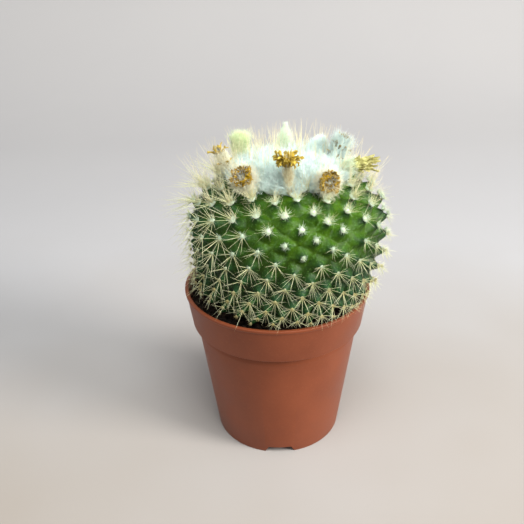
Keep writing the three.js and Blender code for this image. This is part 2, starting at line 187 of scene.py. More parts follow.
# Dried petals, one row a layer. Their feet stand on a ring. Bend and curl are how far they lean out
# by the tip, evenly and more and more. Drop, jitter and arc are given where they aren't the usual.
PETAL_THICKNESS = 0.14
PETAL_FIELDS = ("count", "ring", "reach", "width", "bend", "curl", "crumple", "drop", "jitter", "arc")
PETAL_USUAL = dict(drop=0, jitter=0.35, arc=1)
RING_FLOWER = [
    (38, 3.2, 2.1, 0.8, 0.55, 1.0, 0.42),
    (32, 2.75, 2.0, 0.8, 0.0, 0.6, 0.42),
    (18, 2.4, 1.4, 0.7, -0.5, -0.6, 0.4),
]
FLOWER_LAYERS = {
    "front_left": RING_FLOWER,
    "front_right": RING_FLOWER,
    "centre": [
        (22, 1.9, 5.4, 0.8, 1.5, 1.2, 0.34),
        (24, 1.6, 5.6, 0.75, 0.9, 0.9, 0.34),
        (18, 1.0, 3.6, 0.7, 0.3, 0.6, 0.34),
        (2, 3.0, 7.5, 1.0, 0.1, -0.1, 0.3, 0, 0.02, 0.06),
    ],
    "left": [
        (6, 1.2, 3.6, 0.9, 0.2, 0.4, 0.35),
        (5, 1.6, 3.2, 0.9, 1.3, 1.2, 0.35),
        (6, 1.4, 3.6, 0.8, 1.0, 0.6, 0.35, 0.34),
    ],
    "back_right": [
        (10, 0.7, 2.2, 0.7, 0.2, 0.5, 0.35),
        (6, 1.0, 2.8, 0.7, 1.0, 1.0, 0.35),
        (9, 3.0, 3.0, 0.6, 0.9, 0.8, 0.4, 0.34),
        (8, 3.0, 2.4, 0.5, 0.9, 0.8, 0.4, 0.6),
    ],
    "right": [
        (20, 1.7, 9.6, 0.85, 0.28, -0.25, 0.14),
        (14, 0.9, 11.0, 0.9, 0.14, -0.1, 0.14),
        (5, 1.9, 8.0, 0.9, 0.9, 0.1, 0.2),
    ],
}

# Colours, as screen values from 0 to 255. Wools: light, dark, and the scale of the mottle.
WOOLS = {
    "wool": ((244, 255, 249), (230, 248, 241), 300),
    "wool_fine": ((243, 255, 248), (213, 240, 230), 900),
    "bud_wool": ((228, 240, 196), (206, 224, 176), 300),
    "bud_wool_pale": ((240, 252, 228), (218, 236, 198), 700),
    "bud_wool_yellow": ((230, 242, 192), (186, 204, 138), 700),
    # tube_wool: the flower tubes' tan bodies, painted darker so the gaps between their hairs read as shade.
    "tube_wool": ((206, 198, 156), (164, 146, 104), 300),
    "tube_wool_fine": ((246, 244, 220), (224, 216, 176), 900),
    "tube_wool_tan": ((234, 230, 192), (192, 174, 122), 900),
    "tube_wool_grey": ((222, 238, 228), (180, 202, 196), 900),
}
# Petals: light, dark and edge. Spines: from foot to tip.
PETALS = {
    "dried_petal": ((144, 112, 6), (46, 34, 6), (188, 154, 32)),
    "gold_petal": ((190, 160, 52), (96, 74, 20), (224, 200, 96)),
    "yellow_petal": ((208, 204, 132), (118, 110, 50), (224, 214, 142)),
    "stamens": ((206, 208, 196), (56, 50, 38), (214, 208, 184)),
}
SPINES = {
    "spine": ((192, 174, 98), (212, 212, 160), (220, 224, 188), (208, 194, 144)),
    "bristle": ((214, 206, 152), (228, 220, 178), (236, 230, 196), (216, 194, 144)),
}

# Stage, in metres: a floor that bends up into a wall. Lights: place, size, watts and colour.
STAGE_WIDTH, STAGE_FRONT, STAGE_DEPTH, STAGE_HEIGHT, STAGE_BEND = 1.6, -1.1, 1.0, 1.4, 0.55
LIGHT_TARGET = (0, 0, 0.08)
LIGHTS = {
    "key": ((1.0, -0.5, 0.62), 0.5, 23, (1.0, 0.98, 0.95)),
    "top": ((0.1, -0.45, 1.15), 0.7, 14.5, (0.96, 1.0, 1.0)),
    "fill": ((-0.9, -0.6, 0.6), 0.9, 2.0, (0.95, 0.97, 1.0)),
}
WORLD_COLOUR = (0.93, 0.95, 1.0, 1)
WORLD_STRENGTH = 0.5

# Camera, in millimetres and radians, about a point just left of the pot's axis.
CAMERA_DISTANCE = 319.9
CAMERA_ELEVATION = 0.482
CAMERA_ROLL = -0.020
CAMERA_TARGET = (-6.76, 0.0, 86.6)
CAMERA_LENS = 48.1

rng = np.random.default_rng(20)


# ---- mesh helpers


def new_object(name, verts, faces, material, smooth=True, attributes=None):
    """A mesh object from points in millimetres."""
    mesh = bpy.data.meshes.new(name)
    points = np.asarray(verts, dtype=float) * MM + ORIGIN
    mesh.from_pydata(points.tolist(), [], faces)
    for key, values in (attributes or {}).items():
        layer = mesh.attributes.new(key, "FLOAT", "POINT")
        layer.data.foreach_set("value", np.asarray(values, dtype=np.float32))
    mesh.polygons.foreach_set("use_smooth", [smooth] * len(mesh.polygons))
    mesh.materials.append(material)
    mesh.update()
    obj = bpy.data.objects.new(name, mesh)
    bpy.context.scene.collection.objects.link(obj)
    return obj


def settle(piece, node=None):
    """Every piece rides on the object's one body. With a node, it stands for that CAD part."""
    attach(piece, "root")
    if node:
        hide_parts(node)


def unit(vectors):
    lengths = np.linalg.norm(vectors, axis=-1, keepdims=True)
    return vectors / np.maximum(lengths, 1e-9)


def smoothstep(low, high, value):
    share = np.clip((value - low) / (high - low), 0, 1)
    return share * share * (3 - 2 * share)


def outward(angle):
    """Level directions away from the axis, one for each angle."""
    return np.stack([np.sin(angle), -np.cos(angle), np.zeros_like(angle)], 1)


def on_crown(angle, out, lift):
    """Points on the crown, out from the stem's axis, lifted off its skin."""
    x = STEM_OFFSET + out * np.sin(angle)
    y = -out * np.cos(angle)
    return np.stack([x, y, crown_height(x, y) + lift], 1)


def strands(paths, radii, sides):
    """Closed tapering tubes: paths is (count, steps, 3), radii (count, steps) or (steps,)."""
    count, steps, _ = paths.shape
    radii = np.broadcast_to(radii, (count, steps))
    tangents = unit(np.gradient(paths, axis=1))
    helper = np.where(np.abs(tangents[:, :1, 2:3]) > 0.8, [[[1.0, 0, 0]]], [[[0, 0, 1.0]]])
    across = unit(np.cross(tangents, helper))
    other = np.cross(tangents, across)
    angles = ring_angles(sides)
    ring = (
        across[:, :, None] * np.cos(angles)[None, None, :, None]
        + other[:, :, None] * np.sin(angles)[None, None, :, None]
    )
    verts = paths[:, :, None] + ring * radii[:, :, None, None]
    index = np.arange(count * steps * sides).reshape(count, steps, sides)
    low, high = index[:, :-1], index[:, 1:]
    sides_faces = np.stack(
        [low, np.roll(low, -1, 2), np.roll(high, -1, 2), high], axis=-1
    ).reshape(-1, 4)
    caps = np.concatenate([index[:, 0, ::-1], index[:, -1]])
    return verts.reshape(-1, 3), sides_faces.tolist() + caps.tolist()


def along_strands(count, steps, sides):
    """0 at the foot of each strand and 1 at its tip, one value a vertex."""
    share = np.linspace(0, 1, steps)
    return np.broadcast_to(share[None, :, None], (count, steps, sides)).reshape(-1)


def ring_angles(count):
    return np.arange(count) * 2 * math.pi / count


def turned_faces(sectors, rings):
    """Faces of a turned shape: a bottom point, rings of points and a top point."""
    faces = []
    last = 1 + (rings - 1) * sectors
    for j in range(sectors):
        k = (j + 1) % sectors
        faces.append((0, 1 + k, 1 + j))
        for low in range(1, last, sectors):
            high = low + sectors
            faces.append((low + j, low + k, high + k, high + j))
        faces.append((last + j, last + k, last + sectors))
    return faces


def revolve(profile, sectors):
    """Points and faces of a profile of (radius, height) turned about Z, from axis to axis."""
    angles = ring_angles(sectors)
    verts = [(0.0, 0.0, profile[0][1])]
    for radius, height in profile[1:-1]:
        verts += [(radius * math.sin(a), -radius * math.cos(a), height) for a in angles]
    verts.append((0.0, 0.0, profile[-1][1]))
    return np.array(verts), turned_faces(sectors, len(profile) - 2)


def joined(blocks):
    """One set of points and faces from several."""
    faces, start = [], 0
    for points, own_faces in blocks:
        faces += [tuple(start + v for v in face) for face in own_faces]
        start += len(points)
    return np.concatenate([points for points, _ in blocks]), faces


def lumps(points, scale, seed):
    """Smooth noise from -1 to 1 at points, in millimetres, with lumps of that size."""
    shift = Vector((seed * 17.3, seed * 5.1, seed * 9.7))
    return np.array([noise.noise(Vector(p) / scale + shift) for p in points])


# ---- materials


class Shader:
    """Builds one procedural material node by node. Colours are screen values from 0 to 255."""

    def __init__(self, name, roughness, **settings):
        self.material = bpy.data.materials.new(name)
        self.material.use_nodes = True
        self.nodes = self.material.node_tree.nodes
        self.links = self.material.node_tree.links
        self.surface = self.nodes["Principled BSDF"]
        self.feed(self.surface, Roughness=roughness, **settings)
        self.place = self.nodes.new("ShaderNodeTexCoord").outputs["Object"]

    def put(self, socket, value):
        if isinstance(value, bpy.types.NodeSocket):
            self.links.new(value, socket)
        else:
            socket.default_value = value

    def feed(self, node, **inputs):
        for name, value in inputs.items():
            self.put(node.inputs[name.replace("_", " ")], value)

    def node(self, kind, output, **inputs):
        node = self.nodes.new("ShaderNode" + kind)
        self.feed(node, **inputs)
        return node.outputs[output]

    def noise(self, scale, detail=4, distortion=0.0):
        look = dict(Scale=scale, Detail=detail, Distortion=distortion)
        return self.node("TexNoise", "Fac", Vector=self.place, **look)

    def attribute(self, name):
        node = self.nodes.new("ShaderNodeAttribute")
        node.attribute_name = name
        return node.outputs["Fac"]

    def ramp(self, value, stops):
        node = self.nodes.new("ShaderNodeValToRGB")
        elements = node.color_ramp.elements
        while len(elements) < len(stops):
            elements.new(0.5)
        for element, (position, colour) in zip(elements, stops.items()):
            element.position = position
            element.color = (*rgb(*colour), 1)
        self.links.new(value, node.inputs["Fac"])
        return node.outputs["Color"]

    def mix(self, share, first, second):
        node = self.nodes.new("ShaderNodeMix")
        node.data_type = "RGBA"
        for name, value in (("Factor", share), ("A", first), ("B", second)):
            if isinstance(value, tuple):
                value = (*rgb(*value), 1)
            self.put([s for s in node.inputs if s.name == name and s.enabled][0], value)
        return [s for s in node.outputs if s.enabled][0]

    def span(self, value, low, high, out_low=0.0, out_high=1.0):
        ends = dict(From_Min=low, From_Max=high, To_Min=out_low, To_Max=out_high)
        return self.node("MapRange", "Result", Value=value, **ends)

    def colour(self, value):
        self.feed(self.surface, Base_Color=value)

    def roughness(self, value):
        self.feed(self.surface, Roughness=value)

    def bump(self, height, strength, distance):
        look = dict(Height=height, Strength=strength, Distance=distance)
        self.feed(self.surface, Normal=self.node("Bump", "Normal", **look))


def rgb(red, green, blue):
    """A colour given as screen values from 0 to 255, as linear light."""
    return tuple(
        (v / 255 / 12.92) if v / 255 <= 0.04045 else ((v / 255 + 0.055) / 1.055) ** 2.4
        for v in (red, green, blue)
    )


def pot_material():
    shader = Shader("pot_plastic", 0.42, Specular_IOR_Level=0.3)
    cloud = shader.noise(45, 5)
    tint = shader.ramp(cloud, {0.35: (114, 56, 31), 0.7: (127, 65, 38)})
    worn = shader.span(shader.noise(900, 3), 0.55, 0.8, 0, 0.2)
    shader.colour(shader.mix(worn, tint, (150, 86, 54)))
    shader.roughness(shader.span(cloud, 0.3, 0.7, 0.36, 0.5))
    shader.bump(shader.noise(2600, 2), 0.12, 0.0002)
    return shader.material


def stem_material():
    """Painted shade darkest in the valleys between the tubercles below, light between them near the crown,
    and painted shade on the left side near the crown.
    """
    shader = Shader("stem_skin", 0.42, Specular_IOR_Level=0.15)
    tip = shader.attribute("tip")
    cloud = shader.noise(160, 4)
    young = shader.ramp(tip, {0.0: (64, 96, 10), 0.4: (57, 91, 11), 0.7: (27, 53, 14), 1.0: (15, 35, 16)})
    # Lower down, the valleys between the tubercles are painted shade, near black, and the tubercles are
    # lighter and bluer.
    old_with_shaded_valleys = shader.ramp(tip, {0.0: (9, 24, 5), 0.4: (20, 48, 15), 0.85: (32, 72, 38), 1.0: (32, 68, 40)})
    # rise is young growth near the crown, cut back on the left side as painted shade.
    body = shader.mix(shader.attribute("rise"), old_with_shaded_valleys, young)
    body = shader.mix(shader.span(shader.noise(1200, 3), 0.55, 0.68, 0, 0.55), body, (92, 134, 62))
    body = shader.mix(shader.span(shader.noise(520, 4), 0.45, 0.7, 0, 0.45), body, (24, 52, 20))
    shader.colour(shader.mix(shader.span(cloud, 0.3, 0.7, 0, 0.3), body, (20, 46, 16)))
    shader.roughness(shader.span(cloud, 0.3, 0.7, 0.32, 0.5))
    shader.bump(shader.noise(800, 5), 0.8, 0.0005)
    return shader.material


def spine_material(name):
    shader = Shader(name, 0.4, Specular_IOR_Level=0.4)
    tint = shader.ramp(shader.attribute("along"), dict(zip((0.0, 0.15, 0.75, 1.0), SPINES[name])))
    patch = shader.span(shader.noise(120, 2), 0.35, 0.7, 0, 0.35)
    shader.colour(shader.mix(patch, tint, (226, 216, 150)))
    return shader.material


def felt_material():
    shader = Shader("felt", 0.9, Sheen_Weight=0.1)
    tint = shader.mix(shader.attribute("age"), (182, 198, 172), (176, 164, 108))
    shader.colour(shader.mix(shader.attribute("young"), tint, (204, 218, 194)))
    shader.bump(shader.noise(2500, 3), 0.5, 0.0003)
    return shader.material


def wool_material(name):
    light, dark, scale = WOOLS[name]
    shader = Shader(name, 0.95, Sheen_Weight=0.5)
    shader.colour(shader.ramp(shader.noise(scale, 4), {0.3: dark, 0.65: light}))
    shader.bump(shader.noise(1800, 4), 0.6, 0.0005)
    return shader.material


def petal_material(name):
    light, dark, edge = PETALS[name]
    shader = Shader(name, 0.65, Specular_IOR_Level=0.15)
    tint = shader.ramp(shader.noise(500, 5, 0.6), {0.32: dark, 0.62: light})
    shader.colour(shader.mix(shader.span(shader.attribute("along"), 0.55, 1.0, 0, 0.5), tint, edge))
    shader.bump(shader.noise(1600, 3), 0.5, 0.0004)
    return shader.material


def soil_material():
    shader = Shader("soil", 0.95, Specular_IOR_Level=0.15)
    stops = {0.35: (18, 14, 11), 0.6: (42, 32, 24), 0.75: (76, 60, 44)}
    shader.colour(shader.ramp(shader.noise(420, 6), stops))
    shader.bump(shader.noise(1400, 5), 0.8, 0.001)
    return shader.material


def root_material():
    shader = Shader("root", 0.85)
    shader.colour(shader.ramp(shader.noise(300, 4), {0.3: (140, 108, 70), 0.7: (196, 166, 118)}))
    shader.bump(shader.noise(900, 4), 0.5, 0.0005)
    return shader.material


def backdrop_material():
    """Pale paper, warm on the floor in front and cooler towards the wall; the floor in front is painted
    darker as shade, to even out the stronger light there.
    """
    shader = Shader("backdrop", 0.85, Specular_IOR_Level=0.1)
    painted_shade_depth = shader.span(shader.node("SeparateXYZ", "Y", Vector=shader.place), -0.35, 0.75)
    total = shader.nodes.new("ShaderNodeMath")
    shader.put(total.inputs[0], painted_shade_depth)
    shader.put(total.inputs[1], shader.span(shader.noise(5, 3), 0.3, 0.7, -0.06, 0.06))
    # The dark front stop is painted shade on the floor; the warm tone is the paper's own.
    stops = {0.0: (132, 116, 94), 0.5: (171, 169, 169), 1.0: (182, 179, 177)}
    shader.colour(shader.ramp(total.outputs[0], stops))
    return shader.material


# ---- stem shape


def stem_axis_x(z):
    return STEM_OFFSET - STEM_LEAN * np.clip(STEM_EQUATOR - z, 0, None) ** 2


def meridian(steps):
    """Radius and height up one side of the stem, from foot to top."""
    angle = np.pi * (np.arange(steps + 1) / steps - 0.5)
    above = angle >= 0
    power = np.where(above, STEM_TOP_POWER, STEM_FOOT_POWER)
    reach = np.where(above, STEM_RISE, STEM_DROP)
    radius = STEM_RADIUS * np.clip(np.cos(angle), 0, None) ** (2 / power)
    radius[0] = radius[-1] = 0
    height = STEM_EQUATOR + reach * np.sign(angle) * np.abs(np.sin(angle)) ** (2 / power)
    return radius, height


def crown_height(x, y):
    share = np.clip(np.hypot(x - STEM_OFFSET, y) / STEM_RADIUS, 0, 1)
    return STEM_EQUATOR + STEM_RISE * (1 - share**STEM_TOP_POWER) ** (1 / STEM_TOP_POWER)


def make_areoles():
    """Every areole as arrays: number, point, outward normal, uphill and sideways directions."""
    radius, height = meridian(1440)
    step = np.hypot(np.diff(radius), np.diff(height))
    area = np.concatenate([[0], np.cumsum(np.pi * (radius[1:] + radius[:-1]) * step)])
    area -= np.interp(STEM_EQUATOR, height, area)
    number = np.array(AREOLE_NUMBERS)
    slip = np.array([SLIPS.get(int(n), 0) for n in number]) * SPINE_ROWS
    rank = number + slip
    wanted = AREOLE_START_AREA + AREOLE_CELL * rank + AREOLE_CELL_GROWTH * rank**2
    growing = AREOLE_CELL + 2 * AREOLE_CELL_GROWTH * number > 0
    inside = (wanted > area[0]) & (wanted < area[-1]) & growing
    number, wanted, slip = number[inside], wanted[inside], slip[inside]
    z = np.interp(wanted, area, height)
    r = np.interp(wanted, area, radius)
    slope_r = np.interp(wanted, area, np.gradient(radius))
    slope_z = np.interp(wanted, area, np.gradient(height))
    row_turn = (AREOLE_TURN * SPINE_ROWS + 180) % 360 - 180
    angle = np.radians(AREOLE_START_ANGLE + AREOLE_TURN * number + row_turn * slip / SPINE_ROWS)
    around = outward(angle)
    length = np.hypot(slope_r, slope_z)
    slope_r, slope_z = slope_r / length, slope_z / length
    return dict(
        number=number,
        point=np.stack([stem_axis_x(z) + r * around[:, 0], r * around[:, 1], z], 1),
        normal=around * slope_z[:, None] - UP * slope_r[:, None],
        uphill=around * slope_r[:, None] + UP * slope_z[:, None],
        side=np.stack([np.cos(angle), np.sin(angle), np.zeros_like(angle)], 1),
        z=z,
        r=r,
        azimuth=(np.degrees(angle) + 180) % 360 - 180,
    )


def nearest_two(points, seeds):
    """Distance to the nearest and second nearest seed, and the nearest seed's index."""
    first, second, index = [], [], []
    for start in range(0, len(points), 4000):
        block = points[start : start + 4000]
        distance = np.linalg.norm(block[:, None] - seeds[None], axis=-1)
        order = np.argpartition(distance, 1, axis=1)[:, :2]
        pair = np.take_along_axis(distance, order, 1)
        swap = pair[:, 0] > pair[:, 1]
        first.append(pair.min(1))
        second.append(pair.max(1))
        index.append(np.where(swap, order[:, 1], order[:, 0]))
    return np.concatenate(first), np.concatenate(second), np.concatenate(index)


def stem_surface(sectors, rings):
    """Points and outward normals of the smooth stem, ring by ring from foot to top."""
    radius, height = meridian(rings)
    level = outward(ring_angles(sectors))[None]
    axis = np.stack([stem_axis_x(height), 0 * height, height], 1)[:, None]
    grid = (axis + radius[:, None, None] * level)[1:-1]
    slope_r, slope_z = np.gradient(radius), np.gradient(height)
    length = np.hypot(slope_r, slope_z)
    out, up = (slope_z / length)[1:-1, None, None], (slope_r / length)[1:-1, None, None]
    normals = (out * level - up * UP).reshape(-1, 3)
    points = np.concatenate([axis[0], grid.reshape(-1, 3), axis[-1]])
    return points, np.concatenate([[-UP], normals, [UP]])


def make_stem(areoles):
    sectors, rings = 440, 210
    points, normals = stem_surface(sectors, rings)
    seeds = areoles["point"] - areoles["uphill"] * TIP_BELOW_AREOLE
    first, second, index = nearest_two(points, seeds)
    tip = (second - first) / (second + first)
    tip[[0, -1]] = 0
    size = 0.9 + 0.2 * rng.random(len(seeds))
    deep = TUBERCLE_DEPTH * size[index]
    above = ((points - areoles["point"][index]) * areoles["uphill"][index]).sum(1)
    chin = CHIN_SIZE * np.exp(-(((above + CHIN_DROP) / CHIN_WIDTH) ** 2)) * tip
    ripple = 0.22 * lumps(points, 2.2, 1) + 0.35 * lumps(points, 7.0, 2)
    sunk = deep * (1 - tip**TUBERCLE_POWER) + 0.15 - chin + ripple * (1 - tip)
    points = points - normals * sunk[:, None]

    # The left side, turned away from the key light, gets less of the light young colour: painted shade.
    azimuth = np.degrees(np.arctan2(points[:, 0] - STEM_OFFSET, -points[:, 1]))
    lit_side = np.maximum(smoothstep(-52, -8, azimuth), smoothstep(-110, -150, azimuth))
    young = smoothstep(94, 117, points[:, 2] + 3.5 * lumps(points, 9, 3))
    marks = dict(tip=tip, rise=young * (0.35 + 0.65 * lit_side))
    faces = turned_faces(sectors, rings - 1)
    stem = new_object("stem", points, faces, stem_material(), attributes=marks)
    settle(stem, "cactus_stem")


# ---- spines and felt


def spine_length(areoles, i):
    """How long the spines stand at an areole: longest at the left shoulder, short in front."""
    azimuth, z = areoles["azimuth"][i], areoles["z"][i]
    bald = math.exp(-(((azimuth - 10) / 24) ** 2) - ((z - 113) / 8) ** 2)
    left = float(smoothstep(-12, -50, azimuth) * smoothstep(-175, -130, azimuth))
    shoulder = left * float(smoothstep(106, 120, z))
    low = 0.62 + 0.38 * float(smoothstep(74, 86, z))
    length = (SPINE_LENGTH + LEFT_EXTRA * left + SHOULDER_EXTRA * shoulder) * (1 - 0.5 * bald) * low
    length *= 1 - 0.32 * float(smoothstep(40, 65, azimuth) * smoothstep(150, 120, azimuth))
    return length * (BARE_SHARE if areoles["number"][i] in ALMOST_BARE else 1)


def areole_spines(areoles, i):
    """Foot points, directions, lengths and bends of one areole's spines."""
    normal, uphill, side = (areoles[k][i] for k in ("normal", "uphill", "side"))
    z = areoles["z"][i]
    youth = float(smoothstep(112, 126, z))
    length = spine_length(areoles, i)
    crowded = float(smoothstep(-20, -45, areoles["azimuth"][i]) * smoothstep(112, 100, z))
    radials = int(rng.integers(*RADIALS) - 3 * crowded)
    centrals = int(rng.integers(*CENTRALS))
    spread = 2.1 + 0.8 * youth
    around = np.linspace(-spread, spread, radials) + rng.normal(0, 0.16, radials)
    lift = np.radians(rng.uniform(14, 34, radials) + 24 * youth)
    share = 1 - 0.45 * smoothstep(0.9, 2.4, np.abs(around))
    long = length * share * rng.uniform(0.8, 1.12, radials)
    middle = rng.uniform(-math.pi, math.pi, centrals)
    around = np.concatenate([around, middle * 0.5])
    lift = np.concatenate([lift, np.radians(rng.uniform(45, 75, centrals))])
    long = np.concatenate([long, length * rng.uniform(0.8, 1.1, centrals)])
    down = -uphill * np.cos(around)[:, None] + side * np.sin(around)[:, None]
    direction = down * np.cos(lift)[:, None] + normal * np.sin(lift)[:, None]
    foot = areoles["point"][i] + down * 0.3 + normal * 0.1
    bend = normal * rng.normal(0.02, 0.05, len(long))[:, None]
    bend = bend + down * rng.normal(0, 0.03, len(long))[:, None]
    return foot, direction, long, bend


def through_pot(paths):
    """Which paths run into the pot or the soil, or through the gap kept clear at the left."""
    x, z = paths[..., 0], paths[..., 2]
    out = np.hypot(x, paths[..., 1])
    blocked = np.zeros(out.shape, dtype=bool)
    for left_of, inner, outer, top in KEEP_OUT:
        blocked |= (x < left_of) & (out > inner) & (out < outer) & (z < top)
    return blocked[:, 1:].any(axis=1)


def spine_paths(areoles, i, share):
    """Paths of one areole's spines. One that would hit the pot is shortened, or else left out."""
    foot, direction, long, bend = areole_spines(areoles, i)
    path, blocked = 0, True
    for cut in SPINE_CUTS:
        reach = cut * long[:, None, None]
        straight = foot[:, None] + direction[:, None] * (reach * share)
        trial = straight + bend[:, None] * (reach * share**2)
        path = np.where(blocked, trial, path)
        blocked = through_pot(path)[:, None, None]
    return path[~blocked[:, 0, 0]]


def make_spine_rows(areoles, material):
    steps, sides = len(SPINE_TAPER), 4
    share = np.linspace(0, 1, steps)[None, :, None]
    clear = (areoles["z"] < STEM_EQUATOR) | (areoles["r"] > 21)
    shown = (areoles["z"] > SOIL_TOP + 0.5) & clear
    for row in range(SPINE_ROWS):
        paths, radii = [], []
        for i in np.nonzero(shown & (areoles["number"] % SPINE_ROWS == row))[0]:
            path = spine_paths(areoles, i, share)
            left = float(smoothstep(-15, -60, areoles["azimuth"][i]))
            thick = 1 + (0.65 * left - 0.25) * float(smoothstep(104, 120, areoles["z"][i]))
            paths.append(path)
            radii.append(thick * rng.uniform(*SPINE_RADIUS, len(path))[:, None] * SPINE_TAPER)
        paths, radii = np.concatenate(paths), np.concatenate(radii)
        verts, faces = strands(paths, radii, sides)
        marks = dict(along=along_strands(len(paths), steps, sides))
        spines = new_object(f"spines_row_{row + 1:02d}", verts, faces, material, attributes=marks)
        settle(spines, f"spine_row_{row + 1:02d}")


def felt_pad(areoles, i):
    """One cushion of felt, lumpy, larger on young growth."""
    z = areoles["z"][i]
    youth = float(smoothstep(96, 124, z))
    width = 0.54 + 0.4 * youth + 0.4 * float(smoothstep(115, 124, z))
    tall = 0.32 + 0.24 * youth
    rings, sectors = 5, 12
    turns = np.linspace(0, 1, rings + 2) * math.pi
    verts, faces = revolve([(width * math.sin(t), -tall * math.cos(t)) for t in turns], sectors)
    verts = verts * (1 + 0.22 * rng.normal(0, 1, (len(verts), 1)).clip(-1, 1))
    frame_rows = np.stack([areoles["side"][i], areoles["uphill"][i] * 1.15, areoles["normal"][i]])
    return areoles["point"][i] + verts @ frame_rows, faces


def felt_hairs(areoles, i, count):
    normal, uphill, side = (areoles[k][i] for k in ("normal", "uphill", "side"))
    youth = float(smoothstep(100, 124, areoles["z"][i]))
    angle = rng.uniform(0, 2 * math.pi, count)
    out = np.sqrt(rng.random(count)) * (0.7 + 0.8 * youth)
    offset = side * (out * np.cos(angle))[:, None] + uphill * (out * np.sin(angle))[:, None]
    lean = unit(offset + normal * rng.uniform(0.5, 1.6, count)[:, None])
    foot = areoles["point"][i] + offset * 0.8 + normal * 0.1
    long = rng.uniform(0.5, 1.1, count) * (1 + 1.2 * youth)
    share = np.array([0, 0.55, 1.0])
    curl = unit(rng.normal(0, 1, (count, 3))) * 0.25
    straight = lean[:, None] * (long[:, None] * share)[..., None]
    return foot[:, None] + straight + curl[:, None] * (long[:, None] * share**2)[..., None]


def make_felt(areoles, material):
    clear = (areoles["z"] < STEM_EQUATOR) | (areoles["r"] > 20)
    blocks, age, young = [], [], []
    for i in np.nonzero((areoles["z"] > SOIL_TOP) & clear)[0]:
        z = areoles["z"][i]
        blocks.append(felt_pad(areoles, i))
        hair = felt_hairs(areoles, i, int(26 + 44 * float(smoothstep(100, 124, z))))
        blocks.append(strands(hair, FELT_HAIR_RADII, 3))
        count = len(blocks[-2][0]) + len(blocks[-1][0])
        age.append(np.full(count, 1 - float(smoothstep(86, 112, z))))
        young.append(np.full(count, float(smoothstep(114, 123, z))))
    marks = dict(age=np.concatenate(age), young=np.concatenate(young))
    felt = new_object("areole_felt", *joined(blocks), material, attributes=marks)
    settle(felt)


# ---- crown


def hair_piece(name, feet, directions, lengths, material, slot_name, radius, curl, steps=4, sides=3):
    """A coat of fine hairs with gentle random curls, as one mesh."""
    count = len(feet)
    share = np.linspace(0, 1, steps)
    swirl = np.cumsum(rng.normal(0, 1, (count, steps, 3)), axis=1) * curl / steps
    swirl[:, 0] = 0
    run = directions[:, None] * share[None, :, None] + swirl
    paths = feet[:, None] + run * lengths[:, None, None]
    verts, faces = strands(paths, radius * (1 - HAIR_THINNING * share), sides)
    marks = dict(along=along_strands(count, steps, sides))
    hairs = new_object(name, verts, faces, material, attributes=marks)
    settle(hairs)


def wool_radius(angle):
    """The wool reaches least far towards the front, where the young areoles stand clear of it."""
    return WOOL_MEAN_RADIUS - WOOL_SHIFT * np.cos(angle)


def make_cushion(material):
    """The lumpy body of the crown wool: a top and a base of rings, closed round the rim."""
    sectors, rings = 180, 40
    angles = ring_angles(sectors)
    edge = (wool_radius(angles) - 3) * (1 + 0.04 * np.sin(7 * angles + 1) + 0.03 * np.sin(13 * angles))
    verts = [[[STEM_OFFSET, 0, STEM_EQUATOR + STEM_RISE + WOOL_THICKNESS - WOOL_SUNK]]]
    for share in np.linspace(0, 1, rings + 1)[1:]:
        ring = on_crown(angles, share * edge, -WOOL_SUNK)
        verts.append(ring + UP * WOOL_THICKNESS * (1 - share**5))
    top = np.concatenate(verts)
    top[:, 2] += 1.0 * lumps(top, 4.5, 5) + 0.5 * lumps(top, 1.6, 6)
    base = top.copy()
    base[:, 2] = crown_height(base[:, 0], base[:, 1]) - 3.0
    half = len(top)
    faces = []
    for j in range(sectors):
        k = (j + 1) % sectors
        faces.append((0, 1 + j, 1 + k))
        faces.append((half, half + 1 + k, half + 1 + j))
        rim = 1 + (rings - 1) * sectors
        for a in range(1, rim, sectors):
            b = a + sectors
            faces.append((a + j, b + j, b + k, a + k))
            faces.append((half + a + j, half + a + k, half + b + k, half + b + j))
        faces.append((rim + j, half + rim + j, half + rim + k, rim + k))
    wool = new_object("wool_cushion", np.concatenate([top, base]), faces, material)
    settle(wool, "crown_wool")


def make_wool_hair(material):
    """Loose hairs all over the cushion, leaning in tufts."""
    for patch in range(2):
        angle = rng.uniform(0, 2 * math.pi, WOOL_HAIRS)
        reach = np.sqrt(rng.random(WOOL_HAIRS))
        out = reach * (wool_radius(angle) - 1.5 + rng.normal(0, 0.8, WOOL_HAIRS))
        dome = np.clip(1 - (out / (wool_radius(angle) - 2)) ** 5, 0, 1)
        feet = on_crown(angle, out, WOOL_THICKNESS * dome - WOOL_SUNK)
        tuft = np.stack([lumps(feet, 3.5, 11 + patch), lumps(feet, 3.5, 21), 0 * out], 1)
        away = outward(angle) * (0.2 + 0.4 * out / WOOL_MEAN_RADIUS)[:, None]
        lean = unit(away + tuft * 1.4 + 0.9 * UP)
        lengths = rng.uniform(2.0, 4.4, WOOL_HAIRS)
        name = f"wool_hair_{patch + 1}"
        hair_piece(name, feet, lean, lengths, material, "wool", radius=0.075, curl=0.7)


def bristle_length(azimuth, r):
    """Young spines: tallest at the back and left of the crown, short in front."""
    front = np.exp(-((azimuth / 58) ** 2)) * smoothstep(8, 20, r)
    left = np.exp(-(((azimuth + 85) / 40) ** 2))
    return (16.0 + 1.5 * left - (3.5 - 3.0 * left) * smoothstep(26, 38, r)) * (1 - 0.62 * front)


